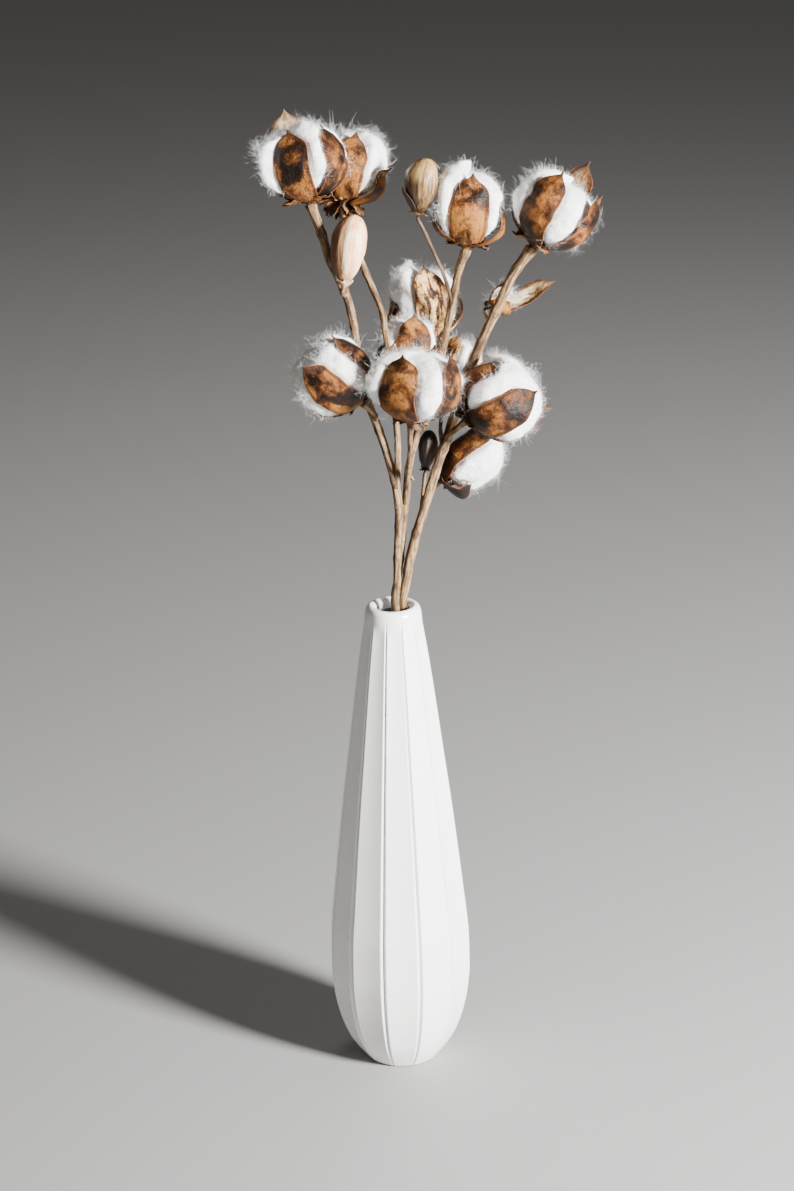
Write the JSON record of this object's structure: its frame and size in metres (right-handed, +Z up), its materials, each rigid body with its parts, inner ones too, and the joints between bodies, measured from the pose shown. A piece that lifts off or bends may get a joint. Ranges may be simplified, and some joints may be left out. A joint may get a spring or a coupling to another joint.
{
  "type": "cotton stem bunch",
  "caption": "Dried cotton stems with open bolls, closed pods and an empty burr, standing in a plug of floral foam in a tall ribbed teardrop vase of white ceramic.",
  "frame": {"origin": "middle of the vase's foot, on the surface it stands on", "axes": "+Z up along the vase; -Y is the front of the arrangement"},
  "size_m": [0.1785, 0.1339, 0.5488],
  "materials": {
    "satin_glaze": "satin",
    "green_foam": "matte",
    "dry_bark": "matte",
    "burr_brown": "matte",
    "pod_cream": "matte",
    "cotton_lint": "matte"
  },
  "bodies": {
    "root": {"vase": "satin_glaze", "foam_plug": "green_foam", "stem_left": "dry_bark", "stem_middle": "dry_bark", "stem_right": "dry_bark", "burr_01": "burr_brown", "burr_02": "burr_brown", "burr_03": "burr_brown", "burr_04": "burr_brown", "burr_05": "burr_brown", "burr_06": "burr_brown", "burr_07": "burr_brown", "burr_08": "burr_brown", "burr_09": "burr_brown", "burr_10": "burr_brown", "burr_11": "burr_brown", "lint_01": "cotton_lint", "lint_02": "cotton_lint", "lint_03": "cotton_lint", "lint_04": "cotton_lint", "lint_05": "cotton_lint", "lint_06": "cotton_lint", "lint_07": "cotton_lint", "lint_08": "cotton_lint", "lint_09": "cotton_lint", "lint_10": "cotton_lint", "lint_11": "cotton_lint", "pod_left": "pod_cream", "pod_middle": "burr_brown", "pod_low": "burr_brown", "burr_empty": "burr_brown", "lint_wisp": "cotton_lint"}
  },
  "joints": []
}
